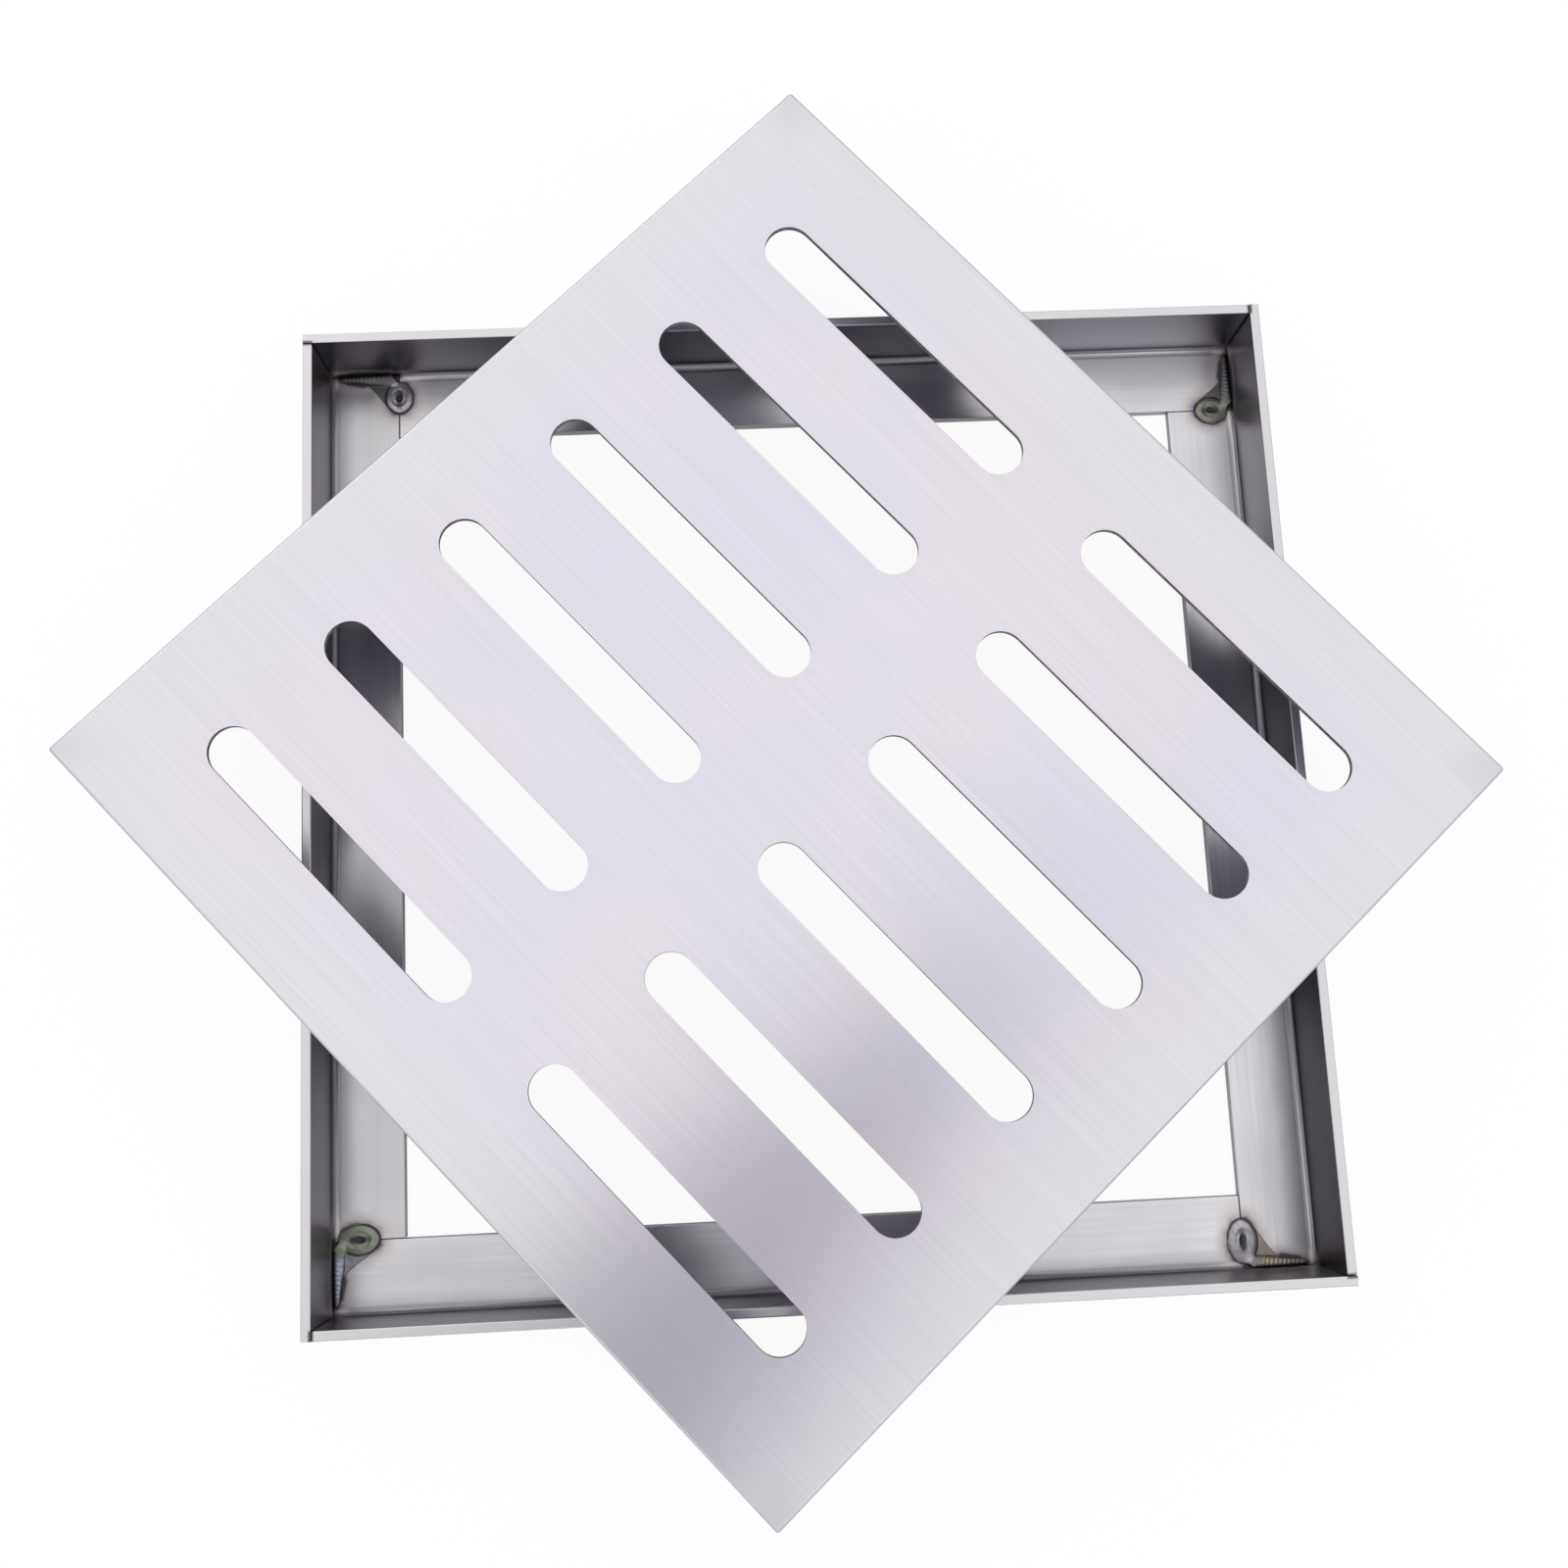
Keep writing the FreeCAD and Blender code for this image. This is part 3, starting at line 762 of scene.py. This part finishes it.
def frozen_weld_metal(settings, name, ring_colour, toe_colour, run_colour):
    """Weld metal as it froze: a dark toe, paler tinted rings, a dark slit of a crater and a soft run.

    The bead's own attributes say how far a point is from the toe and from the wall, how far out in the puddle
    and in its crater, and how much in the run.
    """
    material, tree = new_material(name)
    toe, wall, radius, crater, run = [
        add(tree, "Attribute", output="Fac", attribute_name=attribute)
        for attribute in ("toe_distance", "wall_distance", "puddle_radius", "crater_radius", "run_share")
    ]
    place = add(tree, "Mapping", {
        "Vector": add(tree, "TexCoord", output="Object"), "Scale": (PER_MM,) * 3
    })
    mottle = add(tree, "TexNoise", {"Vector": place, "Scale": MOTTLES_PER_MM, "Detail": 3.0})

    # The puddle froze from its rim inwards, so its scale lies in rings
    rings = add(tree, "ValToRGB", {"Fac": radius}, stops=[
        (0.40, opaque(ring_colour)),
        (0.54, opaque([(a + b) / 2 for a, b in zip(ring_colour, toe_colour)])),
        (0.66, opaque(ring_colour)),
        (0.84, opaque(ring_colour)),
        (0.96, opaque(toe_colour)),
    ])
    puddle = add(tree, "Mix", {
        MIX_SHARE: add(tree, "MapRange", {"Value": crater, **CRATER_SPAN}, **SMOOTH),
        MIX_COLOUR_A: opaque(settings.crater_colour), MIX_COLOUR_B: rings
    }, data_type="RGBA")
    bead = add(tree, "Mix", {
        MIX_SHARE: run, MIX_COLOUR_A: puddle, MIX_COLOUR_B: opaque(run_colour)
    }, data_type="RGBA")
    mottled = add(tree, "Mix", {
        MIX_SHARE: add(tree, "MapRange", {"Value": mottle, **MOTTLE_SPAN, "To Max": MOTTLE_SHARE}),
        MIX_COLOUR_A: bead, MIX_COLOUR_B: opaque(toe_colour)
    }, data_type="RGBA")
    width = settings.scale_width * PER_MM
    toed = add(tree, "Mix", {
        MIX_SHARE: add(tree, "MapRange", {
            "Value": toe, "From Min": width * TOE_START, "From Max": width
        }, **SMOOTH),
        MIX_COLOUR_A: opaque(toe_colour), MIX_COLOUR_B: mottled
    }, data_type="RGBA")
    # Black along the wall side of the bead
    colour = add(tree, "Mix", {
        MIX_SHARE: add(tree, "MapRange", {
            "Value": wall, "From Min": width * WALL_START, "From Max": width * WALL_END
        }, **SMOOTH),
        MIX_COLOUR_A: opaque(settings.wall_side_colour), MIX_COLOUR_B: toed
    }, data_type="RGBA")
    rough = add(tree, "MapRange", {
        "Value": mottle, **WIDE_SPAN, "To Min": WELD_ROUGH_LEAST, "To Max": WELD_ROUGH_MOST
    })
    grained = add(tree, "Bump", {"Height": mottle, "Strength": 0.5, "Distance": 0.08 * MM})
    shader = add(tree, "BsdfPrincipled", {
        "Base Color": colour, "Metallic": 1.0, "Roughness": rough, "Normal": grained
    })
    add(tree, "OutputMaterial", {"Surface": shader})
    return material


def smooth_step(values, low, high):
    """A share that rises smoothly from 0 at low to 1 at high."""
    share = np.clip((values - low) / (high - low), 0.0, 1.0)
    return share * share * (3.0 - 2.0 * share)


def capped_tube(name, points, values):
    """A tube through a grid of sections, each closed on itself, with a cap at each end.

    Quads join each point to the next one round its section and to the same two of the next section. The
    values are numbers at the points, which the finish reads by name.
    """
    along, count = points.shape[:2]
    i, j = np.meshgrid(np.arange(along - 1), np.arange(count), indexing="ij")
    k = (j + 1) % count
    quads = np.stack([i * count + j, i * count + k, (i + 1) * count + k, (i + 1) * count + j], axis=-1)
    first_cap = list(range(count - 1, -1, -1))
    last_cap = list(range((along - 1) * count, along * count))
    mesh = bpy.data.meshes.new(name)
    mesh.from_pydata(points.reshape(-1, 3), [], quads.reshape(-1, 4).tolist() + [first_cap, last_cap])
    mesh.polygons.foreach_set("use_smooth", np.ones(len(mesh.polygons), bool))
    for value_name, numbers in values.items():
        mesh.attributes.new(value_name, "FLOAT", "POINT").data.foreach_set("value", numbers.ravel())
    mesh.validate()
    mesh.update()
    piece = bpy.data.objects.new(name, mesh)
    bpy.context.scene.collection.objects.link(piece)
    return piece


def weld_bead(settings, side):
    """One corner bead: a closed section carried along the foot of the wall, from the run's tip to the puddle.

    u goes along the wall from the corner and t across the bead, from the wall side at 0 to the toe at 1. The
    toe follows the run's leg, swings out in a smooth step to the end of the puddle and comes back along its
    ellipse. The run is a quarter ellipse over its leg with ripples along u. The puddle is a dome over its
    ellipse with a raised ring, faint waves in circles and a crater sunk as a slit over the seam. A web fills
    the bay between the two. All three are joined by a fourth-power sum, and fall to the ledge at the toe.
    """
    turn = FRAME_TURN + side * QUARTER_TURN
    seam_u = (LEDGE_REACH + SEAM_GAP / 2) * PER_MM
    wide_half = settings.puddle_width * PER_MM / 2
    long_half = settings.puddle_lengths[side] * PER_MM / 2
    offset = settings.puddle_offsets[side] * PER_MM
    start = settings.run_start * PER_MM
    swing = seam_u - SWING_REACH * wide_half
    opening = seam_u - OPENING_REACH
    share = np.sin(np.linspace(0.0, 1.0, BEAD_ALONG) * math.pi / 2)[:, None]
    u = start + (seam_u + LAST_SECTION * wide_half - start) * share
    t = np.linspace(0.0, 1.0, BEAD_ACROSS)[None, :]

    # Outline on the ledge
    grown = np.clip((u - start) / (seam_u - start), 0.0, 1.0)
    nose = np.clip(start + NOSE_LENGTH - u, 0.0, None) / NOSE_LENGTH
    rounded = np.sqrt(np.clip(1.0 - nose ** 2, LEAST_NOSE, 1.0))
    widening = settings.run_leg - settings.run_tip_leg
    leg = (settings.run_tip_leg + widening * grown) * PER_MM * rounded
    rise = settings.run_height - settings.run_tip_height
    top = (settings.run_tip_height + rise * grown) * PER_MM * rounded
    ellipse = long_half * np.sqrt(np.clip(1.0 - ((u - seam_u) / wide_half) ** 2, 0.0, 1.0))
    past = u > seam_u
    open_side = smooth_step(u, opening, seam_u)
    toe = np.where(past, offset + ellipse, leg + (offset + long_half - leg) * smooth_step(u, swing, seam_u))
    wall_side = np.where(past, offset - ellipse, (offset - long_half) * open_side)
    width = toe - wall_side
    v = wall_side + t * width

    # Height of the run, the puddle and the web between them
    in_run = 1.0 - smooth_step(u, seam_u - wide_half - RUN_BLEND, seam_u - wide_half + RUN_BLEND)
    fading = 1.0 - smooth_step(u, seam_u - RUN_BLEND, seam_u + RUN_BLEND)
    run = top * np.sqrt(np.clip(1.0 - (v / leg) ** 2, 0.0, 1.0)) * fading
    ripple = 0.5 - 0.5 * np.cos(2 * math.pi * (u + RIPPLE_BOW * v ** 2) / (settings.ripple_pitch * PER_MM))
    run = np.clip(run - settings.ripple_depth * PER_MM * ripple * in_run, 0.0, None)
    radius = np.sqrt(((u - seam_u) / wide_half) ** 2 + ((v - offset) / long_half) ** 2)
    dome = np.sqrt(np.clip(1.0 - radius ** 2, 0.0, 1.0))
    ring = RING_HEIGHT * np.exp(-((radius - RING_RADIUS) / RING_WIDTH) ** 2)
    waves = WAVE_HEIGHT * np.cos(2 * math.pi * WAVE_COUNT * radius)
    crater_wide = settings.crater_width * PER_MM / 2
    crater_long = settings.crater_share * long_half
    crater_radius = np.sqrt(((u - seam_u) / crater_wide) ** 2 + ((v - offset) / crater_long) ** 2)
    crater = -CRATER_DEPTH * np.exp(-crater_radius ** 2)
    puddle = settings.puddle_height * PER_MM * np.clip(dome + ring + waves + crater, 0.0, None)
    web = WEB_HEIGHT * (1.0 - t ** 2) * smooth_step(u, swing, opening)
    height = (run ** JOIN_POWER + puddle ** JOIN_POWER + web ** JOIN_POWER) ** (1 / JOIN_POWER)

    # Fall to the ledge at the toe, and past the opening on the wall side too
    toe_gap = (1.0 - t) * width
    wall_gap = t * width
    toe_fall = np.sqrt(np.clip(toe_gap / FALL_REACH, 0.0, 1.0))
    wall_fall = 1.0 - open_side * (1.0 - np.sqrt(np.clip(wall_gap / FALL_REACH, 0.0, 1.0)))
    height = LEAST_HEIGHT * (1.0 - t) + height * toe_fall * wall_fall

    # The section goes over the top from the wall side to the toe, and back along the ledge
    back = np.linspace(1.0, 0.0, BACK_STEPS + 1)[None, 1:]
    section_v = np.concatenate([v, wall_side + back * width], axis=1)
    section_z = np.zeros(section_v.shape)
    section_z[:, :BEAD_ACROSS] = height
    x = np.broadcast_to(u - INNER_HALF * PER_MM, section_v.shape)
    y = INNER_HALF * PER_MM - section_v
    points = np.stack([
        x * math.cos(turn) - y * math.sin(turn),
        x * math.sin(turn) + y * math.cos(turn),
        LEDGE_TOP * PER_MM + section_z,
    ], axis=-1) * MM

    # What the finish needs to know at each point: numbers over the top, and one number along the ledge
    values = {
        "toe_distance": (np.minimum(toe_gap, wall_gap + FAR_OFF * (1.0 - open_side)), 0.0),
        "wall_distance": (v + FAR_OFF * open_side, 0.0),
        "puddle_radius": (radius, 1.0),
        "crater_radius": (crater_radius, FAR_OFF),
        "run_share": (in_run, 0.0),
    }
    numbers = {}
    for value_name, (over, under) in values.items():
        numbers[value_name] = np.full(section_v.shape, under, np.float32)
        numbers[value_name][:, :BEAD_ACROSS] = over
    return capped_tube("weld_bead_%d" % (side + 1), points, numbers)


def flat_sheet(name, centre, right, up, half_right, half_up, taper=1.0):
    """A flat four-cornered sheet about a centre, with its face on the side of right crossed with up.

    The taper is the width of its lower end as a share of its upper end.
    """
    signs = ((-taper, -1), (taper, -1), (1, 1), (-1, 1))
    corners = [centre + right * half_right * a + up * half_up * b for a, b in signs]
    mesh = bpy.data.meshes.new(name)
    mesh.from_pydata([tuple(c) for c in corners], [], [(0, 1, 2, 3)])
    sheet = bpy.data.objects.new(name, mesh)
    bpy.context.scene.collection.objects.link(sheet)
    return sheet


def pale_floor_paint(settings):
    """Matt white paint. The camera and the metal see a white ground, which keeps the object's shadow."""
    material, tree = new_material("matt_white_floor_paint")
    paint = add(tree, "BsdfDiffuse", {"Color": opaque(settings.floor_colour)})
    white = add(tree, "Emission", {"Color": WHITE, "Strength": 1.0})
    rays = add(tree, "LightPath").node
    share = 0.0
    for ray, ray_share in FLOOR_SHARES.items():
        seen = add(tree, "Math", {0: rays.outputs[ray], 1: ray_share}, operation="MULTIPLY")
        share = add(tree, "Math", {0: share, 1: seen}, operation="MAXIMUM")
    mixed = add(tree, "MixShader", {0: share, 1: paint, 2: white})
    add(tree, "OutputMaterial", {"Surface": mixed})
    return material


def grey_card_paint(settings):
    """Matt grey card, which shows only as the shade that a camera and its stand leave in polished steel."""
    material, tree = new_material("matt_grey_card")
    card = add(tree, "BsdfDiffuse", {"Color": opaque(settings.card_colour)})
    add(tree, "OutputMaterial", {"Surface": card})
    return material


def soft_room_light(settings):
    """Even light from above that fades towards the horizon, as in a pale room. The camera sees white."""
    world = bpy.data.worlds.new("soft_room_light")
    world.use_nodes = True
    tree = world.node_tree
    tree.nodes.clear()
    height = add(tree, "SeparateXYZ", {"Vector": add(tree, "TexCoord", output="Generated")}, "Z")
    light = add(tree, "ValToRGB", {"Fac": height}, stops=[
        (0.0, opaque(settings.horizon_colour)),
        (0.7, opaque(settings.sky_colour)),
    ])
    room = add(tree, "Background", {"Color": light, "Strength": ROOM_STRENGTH})
    white = add(tree, "Background", {"Color": WHITE, "Strength": 1.0})
    seen = add(tree, "LightPath", output="Is Camera Ray")
    mixed = add(tree, "MixShader", {0: seen, 1: room, 2: white})
    add(tree, "OutputWorld", {"Surface": mixed})
    return world


class DRAINCOVER_OT_finish_cover(bpy.types.Operator):
    """Give the slotted cover its brushed steel"""

    bl_idname = "drain_cover.finish_cover"
    bl_label = "Finish the cover"

    def execute(self, context):
        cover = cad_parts["cover"]
        cover.material_slots[0].material = brushed_cover_steel(context.scene.cover_steel)
        return {"FINISHED"}


class DRAINCOVER_OT_finish_frame(bpy.types.Operator):
    """Give the four angles of the frame their mill steel"""

    bl_idname = "drain_cover.finish_frame"
    bl_label = "Finish the frame"

    def execute(self, context):
        settings = context.scene.frame_steel
        welds = context.scene.corner_welds
        for side, name in enumerate(BAR_NAMES):
            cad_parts[name].material_slots[0].material = mill_frame_steel(settings, welds, side)
        return {"FINISHED"}


class DRAINCOVER_OT_lay_welds(bpy.types.Operator):
    """Lay the four corner beads"""

    bl_idname = "drain_cover.lay_welds"
    bl_label = "Lay the welds"

    def execute(self, context):
        settings = context.scene.corner_welds
        for side, node_name in enumerate(WELD_NAMES):
            number = side + 1
            colours = [getattr(settings, "%s_%d" % (part, number)) for part in ("ring", "toe", "run")]
            bead = weld_bead(settings, side)
            bead.data.materials.append(frozen_weld_metal(settings, "frozen_weld_metal_%d" % number, *colours))
            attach(bead, BODY)
            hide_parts(node_name)
        return {"FINISHED"}


class DRAINCOVER_OT_set_stage(bpy.types.Operator):
    """Set the pale floor, the soft light and the camera"""

    bl_idname = "drain_cover.set_stage"
    bl_label = "Set the stage"

    def execute(self, context):
        scene = context.scene
        settings = scene.stage_settings
        floor = flat_sheet(
            "floor", Vector((0, 0, CAD_BOX[0].z - FLOOR_DROP)), Vector((1, 0, 0)), Vector((0, 1, 0)),
            settings.floor_half, settings.floor_half
        )
        floor.data.materials.append(pale_floor_paint(settings))

        place = Vector(settings.camera_place)
        forward = (Vector(settings.camera_aim) - place).normalized()
        hint = Vector((math.cos(settings.picture_up), math.sin(settings.picture_up), 0))
        right = forward.cross(hint).normalized()
        up = right.cross(forward)
        camera_data = bpy.data.cameras.new("camera")
        camera_data.lens = settings.lens
        camera = bpy.data.objects.new("camera", camera_data)
        camera.matrix_world = Matrix((
            (right.x, up.x, -forward.x, place.x),
            (right.y, up.y, -forward.y, place.y),
            (right.z, up.z, -forward.z, place.z),
            (0, 0, 0, 1),
        ))
        scene.collection.objects.link(camera)
        scene.camera = camera

        # The card hangs beside and just above the lens and narrows towards plus Y. Only reflections find it.
        slant = settings.card_slant
        card = flat_sheet(
            "lens_card", place + Vector(settings.card_place), Vector((math.cos(slant), -math.sin(slant), 0)),
            Vector((-math.sin(slant), -math.cos(slant), 0)), settings.card_width / 2, settings.card_depth / 2,
            settings.card_taper
        )
        card.data.materials.append(grey_card_paint(settings))
        card.visible_camera = False
        card.visible_diffuse = False
        card.visible_shadow = False

        lamp_data = bpy.data.lights.new("softbox", "AREA")
        lamp_data.size = settings.softbox_size
        lamp_data.energy = settings.softbox_power
        lamp = bpy.data.objects.new("softbox", lamp_data)
        lamp.location = settings.softbox_place
        lamp.rotation_mode = "QUATERNION"
        lamp.rotation_quaternion = (-Vector(settings.softbox_place)).to_track_quat("-Z", "Y")
        scene.collection.objects.link(lamp)

        scene.world = soft_room_light(settings)
        scene.view_settings.view_transform = "Standard"
        return {"FINISHED"}


class DRAINCOVER_PT_panel(bpy.types.Panel):
    """The steps that finish the drain cover"""

    bl_label = "Drain cover"
    bl_idname = "DRAINCOVER_PT_panel"
    bl_space_type = "VIEW_3D"
    bl_region_type = "UI"
    bl_category = "Drain cover"

    def draw(self, context):
        column = self.layout.column()
        for step in STEPS:
            column.operator(step.bl_idname)


STEPS = (
    DRAINCOVER_OT_finish_cover,
    DRAINCOVER_OT_finish_frame,
    DRAINCOVER_OT_lay_welds,
    DRAINCOVER_OT_set_stage,
)
SETTINGS = {
    "cover_steel": CoverSteelSettings,
    "frame_steel": FrameSteelSettings,
    "corner_welds": WeldSettings,
    "stage_settings": StageSettings,
}


def register():
    """Adds the settings, the steps and the panel."""
    for name, group in SETTINGS.items():
        bpy.utils.register_class(group)
        setattr(bpy.types.Scene, name, PointerProperty(type=group))
    for step in STEPS:
        bpy.utils.register_class(step)
    bpy.utils.register_class(DRAINCOVER_PT_panel)


def unregister():
    """Takes the panel, the steps and the settings away again."""
    bpy.utils.unregister_class(DRAINCOVER_PT_panel)
    for step in reversed(STEPS):
        bpy.utils.unregister_class(step)
    for name, group in SETTINGS.items():
        delattr(bpy.types.Scene, name)
        bpy.utils.unregister_class(group)


def main():
    """Runs the steps in order."""
    register()
    bpy.ops.drain_cover.finish_cover()
    bpy.ops.drain_cover.finish_frame()
    bpy.ops.drain_cover.lay_welds()
    bpy.ops.drain_cover.set_stage()


if __name__ == "__main__":
    main()
